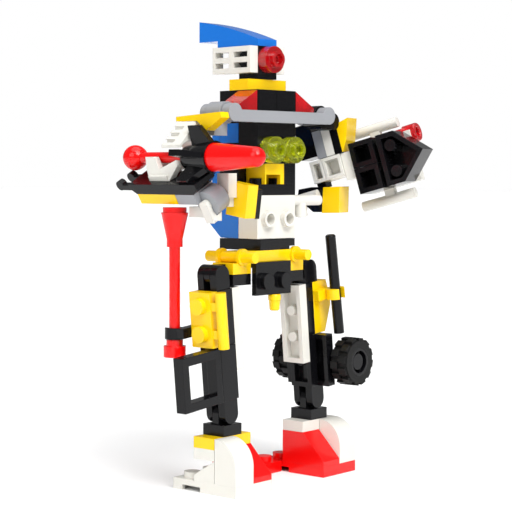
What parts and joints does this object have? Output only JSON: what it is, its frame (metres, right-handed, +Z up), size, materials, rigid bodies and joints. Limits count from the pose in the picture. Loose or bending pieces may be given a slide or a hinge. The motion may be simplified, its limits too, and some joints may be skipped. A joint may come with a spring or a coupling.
{
  "type": "brick-built mech figure",
  "caption": "Toy mech robot built from clip-together studded bricks: hinged legs on wide feet, turning torso and head, cannon arm, pincer arm, lance and wheels.",
  "frame": {"origin": "centre of the bounding box on the ground plane under the soles", "axes": "+Z up the figure, -Y its front, +X its own left side"},
  "size_m": [0.0864, 0.062, 0.1363],
  "materials": {
    "white": "gloss",
    "red": "gloss",
    "yellow": "gloss",
    "grey": "gloss",
    "blue": "gloss",
    "black": "gloss",
    "clear_red": "gloss",
    "clear_yellow": "gloss",
    "rubber": "matte"
  },
  "bodies": {
    "feet": {"right_sole": "white", "left_sole": "red", "white_foot_bricks": "white", "instep_slopes": "red", "right_foot_jumper": "yellow", "left_foot_jumper": "white", "ankle_brackets": "black", "foot_link": "red"},
    "right_leg": {"right_leg_beams": "black", "right_knee_plate": "white", "thigh_handle": "yellow", "shin_frame": "black", "lance_clip": "black"},
    "lance": {"lance": "red"},
    "left_leg": {"left_leg_hinges": "black", "left_knee_plate": "white", "left_thigh_bricks": "yellow", "wheel_holder": "black"},
    "antenna": {"antenna_rod": "black"},
    "wheels": {"tyres": "rubber", "hubs": "black"},
    "hips": {"hip_hinges": "black", "belt": "yellow", "crotch_bracket": "black", "hip_plate": "black"},
    "torso": {"waist_bricks": "white", "backpack": "blue", "belly_plate": "black", "chest_arch": "yellow", "chest_bricks": "black", "chest_lamps": "clear_yellow", "shoulder_bricks": "black", "red_wings": "clear_red", "shoulder_beam": "grey", "neck_plate": "yellow"},
    "head": {"head_core": "black", "eye_lamp": "clear_red", "cheek_grilles": "white", "crest_fin": "blue"},
    "right_arm": {"right_shoulder_clip": "grey", "right_arm_wing": "yellow", "right_arm_slope": "white", "cannon_collar": "black", "cannon_clip": "white", "tray": "black", "tray_yellow_plate": "yellow", "tray_grey_plate": "grey", "right_hand": "white", "right_fist_block": "yellow"},
    "cannon": {"cannon": "red"},
    "left_arm": {"left_upper_arm": "black", "left_grey_plate": "grey", "left_elbow_bricks": "white", "left_fist_bricks": "black", "left_fist_wedge": "black", "left_fist_plate": "white", "left_hand_block": "black", "left_yellow_bricks": "yellow", "left_finger": "white"}
  },
  "joints": [
    {"name": "right_ankle", "type": "hinge", "parent": "feet", "child": "right_leg", "pos_m": [-0.02213, 0.00067, 0.0222], "axis": [0, 1, 0], "range_deg": [-2, 8]},
    {"name": "left_ankle", "type": "hinge", "parent": "feet", "child": "left_leg", "pos_m": [0.01787, 0.00067, 0.0222], "axis": [0, 1, 0], "range_deg": [-2, 8]},
    {"name": "right_hip", "type": "hinge", "parent": "right_leg", "child": "hips", "pos_m": [-0.02613, 0.00067, 0.062], "axis": [0, 1, 0], "range_deg": [-8, 2]},
    {"name": "lance_slide", "type": "slide", "parent": "right_leg", "child": "lance", "axis": [0, 0, -1], "range_m": [0, 0.018]},
    {"name": "antenna_slide", "type": "slide", "parent": "left_leg", "child": "antenna", "axis": [-0.1554, 0, 0.9879], "range_m": [0, 0.008]},
    {"name": "wheel_spin", "type": "hinge", "parent": "left_leg", "child": "wheels", "pos_m": [0.02435, 0.00067, 0.03371], "axis": [0, -1, 0], "continuous": true},
    {"name": "waist", "type": "hinge", "parent": "hips", "child": "torso", "pos_m": [-0.00213, 0.00467, 0.0716], "axis": [0, 0, 1], "range_deg": [-1.5, 20]},
    {"name": "neck", "type": "hinge", "parent": "torso", "child": "head", "pos_m": [-0.00213, 0.00467, 0.1182], "axis": [0, 0, 1], "continuous": true},
    {"name": "right_shoulder", "type": "hinge", "parent": "torso", "child": "right_arm", "pos_m": [-0.02203, 0.00178, 0.108], "axis": [-0.0814, -0.9967, 0], "range_deg": [-30, 0]},
    {"name": "left_shoulder", "type": "hinge", "parent": "torso", "child": "left_arm", "pos_m": [0.01704, -0.00141, 0.108], "axis": [-0.0814, -0.9967, 0], "range_deg": [0, 25]},
    {"name": "cannon_spin", "type": "hinge", "parent": "right_arm", "child": "cannon", "pos_m": [-0.03203, 0.00712, 0.0952], "axis": [-0.0814, -0.9967, 0], "continuous": true}
  ],
  "couplings": [
    {"joint": "left_ankle", "follows": "right_ankle", "ratio": 1},
    {"joint": "right_hip", "follows": "right_ankle", "ratio": -1}
  ]
}
